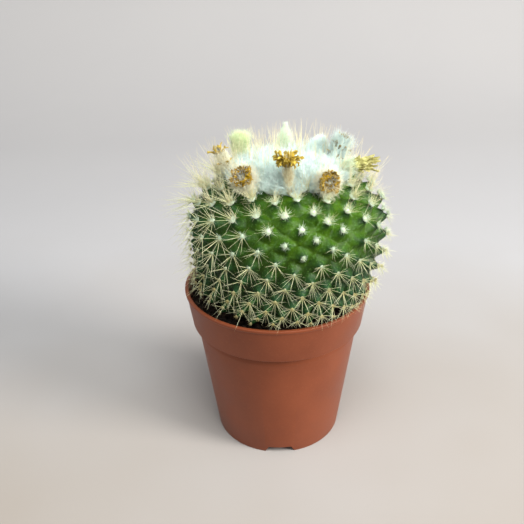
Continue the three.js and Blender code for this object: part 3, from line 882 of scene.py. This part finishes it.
def make_bristles(areoles, material):
    """Young spines that stand up through the wool and round its edge."""
    feet, directions, lengths = [], [], []
    for i in np.nonzero((areoles["z"] > STEM_EQUATOR) & (areoles["r"] < 39))[0]:
        azimuth, r = areoles["azimuth"][i], areoles["r"][i]
        bare = math.exp(-((azimuth / 70) ** 2)) * float(smoothstep(25, 16, r))
        count = max(3, int(rng.integers(18, 25) * (1 - 0.85 * bare)))
        if r > 26:
            count = int(count * (0.62 - 0.54 * math.exp(-(((azimuth - 10) / 52) ** 2))))
        normal = areoles["normal"][i]
        base = normal * 0.55 + normal * LEVEL * 0.3 + 0.85 * UP
        feet.append(areoles["point"][i] + rng.normal(0, 0.8, (count, 3)) * LEVEL)
        directions.append(unit(base + rng.normal(0, 0.24, (count, 3))))
        lengths.append(rng.uniform(0.42, 1.15, count) * float(bristle_length(azimuth, r)))
    hairs = [np.concatenate(part) for part in (feet, directions, lengths)]
    shape = dict(radius=0.088, curl=0.05, steps=5, sides=4)
    hair_piece("crown_bristles", *hairs, material, "spine", **shape)


def make_front_bristles(areoles, material):
    """Fine pale spines of the youngest front areoles, leaning back over the edge of the wool."""
    near = (areoles["r"] > 15) & (areoles["r"] < 33) & (np.abs(areoles["azimuth"]) < 62)
    picks = np.nonzero(near & (areoles["z"] > STEM_EQUATOR))[0]
    picks = np.repeat(picks, 12)
    count = len(picks)
    feet = areoles["point"][picks] + rng.normal(0, 0.5, (count, 3)) * LEVEL
    base = areoles["normal"][picks] * 0.7 + 0.6 * UP
    directions = unit(base + rng.normal(0, 0.42, (count, 3)))
    lengths = rng.uniform(5.0, 9.0, count)
    shape = dict(radius=0.065, curl=0.06, steps=5)
    hair_piece("front_bristles", feet, directions, lengths, material, "spine", **shape)


def make_shoulder_hair(areoles, material):
    """Fine cream hair between the young areoles, thickest at the left, back and right."""
    azimuth = rng.uniform(-180, 180, SHOULDER_HAIRS)
    keep = rng.random(SHOULDER_HAIRS) > 0.92 * np.exp(-(((azimuth - 5) / 52) ** 2))
    azimuth = np.radians(azimuth[keep])
    count = len(azimuth)
    out = rng.uniform(22, 38, count)
    feet = on_crown(azimuth, out, -0.8)
    nearest = nearest_two(feet, areoles["point"])[2]
    feet = feet + (areoles["point"][nearest] - feet) * 0.65
    away = outward(azimuth) * (out / 40)[:, None]
    lean = unit(away + 0.8 * UP + rng.normal(0, 0.35, (count, 3)))
    lengths = rng.uniform(3.5, 8.5, count)
    shape = dict(radius=0.055, curl=0.35, steps=5)
    hair_piece("shoulder_hair", feet, lean, lengths, material, "spine", **shape)


# ---- flowers


def flower_frame(foot, tip):
    """Base point, unit axis, length, and two directions across."""
    height = foot[2] if len(foot) == 3 else float(crown_height(foot[0], foot[1])) + 0.5
    base = np.array([foot[0], foot[1], height])
    line = np.array(tip, dtype=float) - base
    length = float(np.linalg.norm(line))
    axis = line / length
    helper = np.array([0, -1.0, 0]) if abs(axis[1]) < 0.9 else np.array([1.0, 0, 0])
    across = unit(np.cross(helper, axis))
    return base, axis, length, across, np.cross(axis, across)


def turned_body(name, node, slot_name, parts, material, radius, **shape):
    """A lumpy turned body on a flower's axis. Gives back its radius as a function of the share."""
    base, axis, length, across, other = parts
    knots, widths, fill = np.array(shape["knots"]) * shape["end"], shape["widths"], shape["fill"]
    profile = [(w * radius * fill, k * length) for k, w in zip(knots, widths)]
    verts, faces = revolve(profile, shape["sectors"])
    bumps = 1 + shape["lump"] * lumps(verts, 1.8, shape["seed"])
    verts[:, :2] *= bumps[:, None]
    verts = base + verts @ np.stack([across, other, axis])
    settle(new_object(name, verts, faces, material), node)
    return lambda share: radius * fill * np.interp(share, knots, widths)


def coat(name, parts, radius_at, material, slot_name, **look):
    """Hairs on the side of a turned body, from its foot up to a share of its length.

    With a tuck, the hairs close in towards the tip, so the coat ends in a flame. When level is
    set, the upper hairs stand straight and all end at one height, like a brush.
    """
    base, axis, length, across, other = parts
    count, high, tuck = look["count"], look["high"], look.get("tuck")
    share = rng.uniform(0, high, count)
    angle = rng.uniform(0, 2 * math.pi, count)
    around = across * np.cos(angle)[:, None] + other * np.sin(angle)[:, None]
    feet = base + axis * (share * length)[:, None] + around * (radius_at(share) * 0.85)[:, None]
    lean = rng.uniform(*look["lean"], count)
    long = rng.uniform(*look["lengths"], count)
    if tuck is not None:
        up = share / high
        lean = lean * (1 - up) - tuck * up
        long = long * (1 - 0.4 * up)
    if look.get("level"):
        upper = share > 0.45 * high
        long = np.where(upper, (1 - share) * length * rng.uniform(0.62, 1.06, count), long)
        lean = np.where(upper, lean * 0.4, lean * 0.7)
    direction = unit(around * lean[:, None] + axis)
    hair_piece(name, feet, direction, long, material, slot_name, radius=0.06, curl=look["curl"])


def make_bud(name, spec, wools):
    parts = flower_frame(spec["foot"], spec["tip"])
    body, fine = spec["wools"]
    settings = dict(radius=spec["radius"], **BUD_SHAPE)
    radius_at = turned_body(name + "_body", name, "bud_wool", parts, wools[body], **settings)
    look = dict(tuck=spec.get("tuck"), level=spec.get("level"), **BUD_COAT)
    coat(name + "_wool", parts, radius_at, wools[fine], "bud_wool", **look)


def petal_sheet(parts, angle, rise, ring, reach, width, bend, curl, crumple):
    """One dried petal as a thin closed strip: its points, faces and share along it."""
    base, axis, length, across, other = parts
    steps, cells = 7, 3
    out = across * math.cos(angle) + other * math.sin(angle)
    side = np.cross(axis, out)
    start = base + axis * (rise * length) + out * ring
    t = np.linspace(0, 1, steps)
    lean = bend * t + curl * t * t
    step = reach / (steps - 1)
    run_out = np.concatenate([[0], np.cumsum(np.sin(lean[1:]))]) * step
    run_up = np.concatenate([[0], np.cumsum(np.cos(lean[1:]))]) * step
    middle = start + out * run_out[:, None] + axis * run_up[:, None]
    turn = rng.normal(0, 0.6) * t
    lateral = side * np.cos(turn)[:, None] + out * np.sin(turn)[:, None]
    half = width * (0.6 + 0.9 * t - 1.2 * t**3)
    s = np.linspace(-1, 1, cells + 1)
    sheet = middle[:, None] + lateral[:, None] * (half[:, None] * s)[..., None]
    sheet = sheet + out * (0.3 * width * (1 - s**2))[None, :, None]
    sheet = sheet + rng.normal(0, crumple * width, sheet.shape) * (0.35 + t)[:, None, None]
    normal = unit(np.cross(lateral, axis + out * 0.3))
    back = sheet - normal[:, None] * PETAL_THICKNESS
    verts = np.concatenate([sheet.reshape(-1, 3), back.reshape(-1, 3)])
    count = steps * (cells + 1)
    grid = np.arange(count).reshape(steps, cells + 1)
    a, b, c, d = grid[:-1, :-1], grid[:-1, 1:], grid[1:, 1:], grid[1:, :-1]
    front = np.stack([a, b, c, d], -1).reshape(-1, 4)
    loop = np.concatenate([grid[0, :], grid[1:, -1], grid[-1, -2::-1], grid[-2:0:-1, 0]])
    following = np.roll(loop, -1)
    edge = np.stack([loop, loop + count, following + count, following], -1)
    faces = np.concatenate([front, front[:, ::-1] + count, edge])
    return verts, faces.tolist(), np.tile(np.repeat(t, cells + 1), 2)


def dried_petals(parts, rise, layers):
    """All petals of one withered flower, layer by layer: points, faces and share along each."""
    blocks, along = [], []
    for row in layers:
        layer = {**PETAL_USUAL, **dict(zip(PETAL_FIELDS, row))}
        count, jitter = layer["count"], layer["jitter"]
        for p in range(count):
            angle = 2 * math.pi * (p + rng.uniform(-jitter, jitter)) / count
            verts, faces, share = petal_sheet(
                parts,
                angle * layer["arc"],
                rise - layer["drop"] + rng.uniform(-0.02, 0.04),
                layer["ring"] * rng.uniform(0.85, 1.1),
                layer["reach"] * rng.uniform(0.65, 1.2),
                layer["width"] * rng.uniform(0.6, 1.3),
                layer["bend"] + rng.normal(0, 0.3),
                layer["curl"] * rng.uniform(-0.4, 1.6),
                layer["crumple"],
            )
            blocks.append((verts, faces))
            along.append(share)
    return *joined(blocks), np.concatenate(along)


def make_stamens(name, parts, rise, ring, material):
    """The tangle of dried threads inside the petals."""
    base, axis, length, across, other = parts
    angle = rng.uniform(0, 2 * math.pi, STAMENS)
    out = np.sqrt(rng.random(STAMENS)) * ring * 0.8
    around = across * np.cos(angle)[:, None] + other * np.sin(angle)[:, None]
    feet = base + axis * (rise * length) + around * out[:, None]
    lean = unit(axis + around * 0.35)
    long = rng.uniform(0.8, 2.2, STAMENS)
    hair_piece(f"stamens_{name}", feet, lean, long, material, "dried_petal", radius=0.14, curl=0.8)


def make_flower(name, spec, wools, petals):
    spec = {**TUBE_DEFAULTS, **spec}
    parts = flower_frame(spec["foot"], spec["tip"])
    start, layers = spec["start"], FLOWER_LAYERS[name]
    body, fine = spec["wools"]
    end = start + 0.08
    shape = dict(radius=spec["tube"], end=end, **TUBE_SHAPE)
    node = f"flower_{name}_tube"
    radius_at = turned_body(f"tube_{name}", node, "tube_wool", parts, wools[body], **shape)
    look = dict(count=spec["hairs"], high=end * 0.92, lengths=spec["hair"], curl=0.35)
    look["lean"] = (spec["lean"], spec["halo"])
    coat(f"tube_wool_{name}", parts, radius_at, wools[fine], "tube_wool", **look)
    verts, faces, along = dried_petals(parts, start, layers)
    tint, marks = petals[spec["petals"]], dict(along=along)
    crown = new_object(f"petals_{name}", verts, faces, tint, smooth=False, attributes=marks)
    settle(crown, f"flower_{name}_petals")
    ring = layers[0][1]
    make_stamens(name, parts, start + 0.04, ring, petals["stamens"])


# ---- pot, soil, roots


def pot_body_radius(z):
    return POT_BASE_RADIUS + (POT_BODY_TOP_RADIUS - POT_BASE_RADIUS) * z / (POT_HEIGHT - COLLAR_HEIGHT)


def rounded(points, radius, pieces=4):
    """A profile with each inner corner replaced by a short arc-like curve of that radius."""
    result = [points[0]]
    for before, corner, after in zip(points, points[1:], points[2:]):
        before, corner, after = (np.array(p, dtype=float) for p in (before, corner, after))
        reach_in = min(radius, np.linalg.norm(before - corner) * 0.45)
        reach_out = min(radius, np.linalg.norm(after - corner) * 0.45)
        start = corner + unit(before - corner) * reach_in
        end = corner + unit(after - corner) * reach_out
        for k in range(pieces + 1):
            t = k / pieces
            result.append(tuple((1 - t) ** 2 * start + 2 * t * (1 - t) * corner + t * t * end))
    result.append(points[-1])
    return result


def make_pot():
    shelf = POT_HEIGHT - COLLAR_HEIGHT
    floor_top = FOOT_HEIGHT + WALL
    lip = POT_HEIGHT - LIP_HEIGHT
    corners = [
        (0, FOOT_HEIGHT),
        (POT_BASE_RADIUS - FOOT_WIDTH, FOOT_HEIGHT),
        (POT_BASE_RADIUS - FOOT_WIDTH, 0),
        (POT_BASE_RADIUS, 0),
        (pot_body_radius(shelf - 4), shelf - 4),
        (POT_BODY_TOP_RADIUS - STEP_RECESS, shelf + 0.3),
        (COLLAR_FOOT_RADIUS, shelf - 0.2),
        (POT_RIM_RADIUS - 0.55, lip - 0.1),
        (POT_RIM_RADIUS, lip + 0.2),
        (POT_RIM_RADIUS, POT_HEIGHT),
        (POT_RIM_RADIUS - LIP_WIDTH, POT_HEIGHT),
        (COLLAR_FOOT_RADIUS - WALL, shelf + WALL),
        (POT_BODY_TOP_RADIUS - WALL - STEP_RECESS, shelf),
        (pot_body_radius(floor_top) - WALL, floor_top),
        (0, floor_top),
    ]
    verts, faces = revolve(rounded(corners, CORNER_RADIUS), 320)
    pot = new_object("pot_shell", verts, faces, pot_material())
    cut_away(pot, foot_notches() + drain_holes())
    pot.data.set_sharp_from_angle(angle=math.radians(35))
    settle(pot, "pot")


def foot_notches():
    """Wedge-shaped cutters through the foot ring, wider at the floor than at the top."""
    slope = (NOTCH_BOTTOM - NOTCH_TOP) / 2 / NOTCH_HEIGHT
    section = [
        (-NOTCH_BOTTOM / 2 - slope, -1),
        (NOTCH_BOTTOM / 2 + slope, -1),
        (NOTCH_TOP / 2, NOTCH_HEIGHT),
        (-NOTCH_TOP / 2, NOTCH_HEIGHT),
    ]
    reaches = (POT_BASE_RADIUS - FOOT_WIDTH - 2, POT_BASE_RADIUS + 2)
    faces = [(3, 2, 1, 0), (4, 5, 6, 7), (1, 5, 4, 0), (2, 6, 5, 1), (3, 7, 6, 2), (0, 4, 7, 3)]
    cutters = []
    for k in range(NOTCHES):
        turn = k * 2 * math.pi / NOTCHES
        out = np.array([math.sin(turn), -math.cos(turn), 0])
        side = np.array([math.cos(turn), math.sin(turn), 0])
        corners = [out * reach + side * x + [0, 0, z] for reach in reaches for x, z in section]
        cutters.append((np.array(corners), faces))
    return cutters


def drain_holes():
    low, high = DRAIN_CUT
    plug, faces = revolve([(0, low), (DRAIN_RADIUS, low), (DRAIN_RADIUS, high), (0, high)], 32)
    cutters = []
    for k in range(DRAIN_HOLES):
        turn = 2 * math.pi * (k + 0.5) / DRAIN_HOLES
        place = [DRAIN_CIRCLE * math.cos(turn), DRAIN_CIRCLE * math.sin(turn), 0]
        cutters.append((plug + place, faces))
    return cutters


def cut_away(target, cutters):
    """Subtracts closed cutters from a piece and keeps the result in its mesh."""
    verts, faces = joined(cutters)
    mesh = bpy.data.meshes.new("cutters")
    mesh.from_pydata((verts * MM + ORIGIN).tolist(), [], faces)
    cutter = bpy.data.objects.new("cutters", mesh)
    bpy.context.scene.collection.objects.link(cutter)
    cut = target.modifiers.new("cut", "BOOLEAN")
    cut.operation = "DIFFERENCE"
    cut.solver = "EXACT"
    cut.object = cutter
    bpy.context.view_layer.update()
    shaped = target.evaluated_get(bpy.context.evaluated_depsgraph_get())
    mesh = bpy.data.meshes.new_from_object(shaped)
    target.modifiers.clear()
    target.data = mesh
    bpy.data.objects.remove(cutter)


def pot_inside(z):
    """Radius of the pot's inside at a height."""
    heights = [FOOT_HEIGHT + WALL, POT_HEIGHT - COLLAR_HEIGHT, POT_HEIGHT]
    shelf, rim = POT_BODY_TOP_RADIUS - WALL - STEP_RECESS, POT_RIM_RADIUS - LIP_WIDTH
    return float(np.interp(z, heights, [pot_body_radius(4) - WALL, shelf, rim]))


def make_soil(material):
    sectors, rings = 200, 46
    floor = FOOT_HEIGHT + WALL + 0.2
    edge = pot_inside(SOIL_TOP)
    side = [(pot_inside(z) - 0.2, z) for z in (floor, 30, 58.5)]
    side.append((edge - 0.3, SOIL_TOP - 1))
    surface = [(edge * (1 - k / rings) - 0.3, SOIL_TOP) for k in range(rings - 1)]
    verts, faces = revolve([(0, floor), *side, *surface, (0, SOIL_TOP)], sectors)
    upper = verts[:, 2] > SOIL_TOP - 0.5
    for height, scale, seed in SOIL_LUMPS:
        verts[upper, 2] += height * lumps(verts[upper] * LEVEL, scale, seed)
    settle(new_object("soil", verts, faces, material), "potting_soil")


def make_crumbs(material):
    """Loose grains, bits of bark and fibre on the soil's surface."""
    turns = np.linspace(0, math.pi, 5)
    blocks = []
    for _ in range(CRUMBS):
        angle = rng.uniform(0, 2 * math.pi)
        out = rng.uniform(30, POT_RIM_RADIUS - LIP_WIDTH - 1.2)
        size = rng.gamma(2.5, 0.22) + 0.2
        ball, faces = revolve([(math.sin(t) * size, -math.cos(t) * size) for t in turns], 6)
        ball *= 1 + rng.uniform(-0.3, 0.3, (len(ball), 1))
        ball *= rng.uniform(0.5, 1.5, 3)
        turn = rng.uniform(0, math.pi)
        c, s = math.cos(turn), math.sin(turn)
        height = SOIL_TOP + 0.3 + rng.uniform(0, 0.8)
        place = [out * math.sin(angle), -out * math.cos(angle), height]
        blocks.append((ball @ np.array([[c, -s, 0], [s, c, 0], [0, 0, 1]]) + place, faces))
    crumbs = new_object("soil_crumbs", *joined(blocks), material, smooth=False)
    settle(crumbs)


# ---- stage


def make_stage():
    """A floor, a quarter turn and a wall, as one strip from front to back."""
    bend, pieces = STAGE_BEND, 12
    start = STAGE_DEPTH - bend
    rows = [(STAGE_FRONT, 0.0), (start, 0.0)]
    for k in range(1, pieces + 1):
        a = k / pieces * math.pi / 2
        rows.append((start + bend * math.sin(a), bend - bend * math.cos(a)))
    rows.append((STAGE_DEPTH, STAGE_HEIGHT))
    verts = [(x, y, z) for y, z in rows for x in (-STAGE_WIDTH, STAGE_WIDTH)]
    faces = [(2 * i, 2 * i + 1, 2 * i + 3, 2 * i + 2) for i in range(len(rows) - 1)]
    mesh = bpy.data.meshes.new("backdrop")
    mesh.from_pydata(verts, [], faces)
    mesh.polygons.foreach_set("use_smooth", [True] * len(mesh.polygons))
    mesh.materials.append(backdrop_material())
    backdrop = bpy.data.objects.new("backdrop", mesh)
    bpy.context.scene.collection.objects.link(backdrop)


def area_light(name, place, size, power, colour):
    data = bpy.data.lights.new(name, "AREA")
    data.shape = "DISK"
    data.size = size
    data.energy = power
    data.color = colour
    lamp = bpy.data.objects.new(name, data)
    lamp.location = place
    towards = Vector(LIGHT_TARGET) - Vector(place)
    lamp.rotation_euler = towards.to_track_quat("-Z", "Y").to_euler()
    bpy.context.scene.collection.objects.link(lamp)


def make_lights():
    for name, settings in LIGHTS.items():
        area_light(name, *settings)
    world = bpy.data.worlds.new("studio")
    world.use_nodes = True
    background = world.node_tree.nodes["Background"]
    background.inputs["Color"].default_value = WORLD_COLOUR
    background.inputs["Strength"].default_value = WORLD_STRENGTH
    bpy.context.scene.world = world
    bpy.context.scene.view_settings.view_transform = "Standard"


def make_camera():
    data = bpy.data.cameras.new("camera")
    data.lens = CAMERA_LENS
    data.sensor_width = 36
    data.clip_start = 0.01
    camera = bpy.data.objects.new("camera", data)
    target = Vector(np.array(CAMERA_TARGET) * MM + ORIGIN)
    back = Vector((0, -math.cos(CAMERA_ELEVATION), math.sin(CAMERA_ELEVATION)))
    camera.location = target + back * CAMERA_DISTANCE * MM
    look = (-back).to_track_quat("-Z", "Y").to_matrix()
    camera.rotation_euler = (look @ Matrix.Rotation(CAMERA_ROLL, 3, "Z")).to_euler()
    bpy.context.scene.collection.objects.link(camera)
    bpy.context.scene.camera = camera


def main():
    make_camera()
    make_lights()
    make_stage()
    areoles = make_areoles()
    make_stem(areoles)
    spines, bristles = spine_material("spine"), spine_material("bristle")
    make_spine_rows(areoles, spines)
    make_felt(areoles, felt_material())
    wools = {name: wool_material(name) for name in WOOLS}
    make_cushion(wools["wool"])
    make_wool_hair(wools["wool_fine"])
    make_bristles(areoles, bristles)
    make_front_bristles(areoles, spines)
    make_shoulder_hair(areoles, bristles)
    for name, spec in BUDS.items():
        make_bud(name, spec, wools)
    petals = {name: petal_material(name) for name in PETALS}
    for name, spec in FLOWERS.items():
        make_flower(name, spec, wools, petals)
    make_pot()
    soil = soil_material()
    make_soil(soil)
    make_crumbs(soil)
    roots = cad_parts["roots"]
    roots.data.materials.clear()
    roots.data.materials.append(root_material())


main()
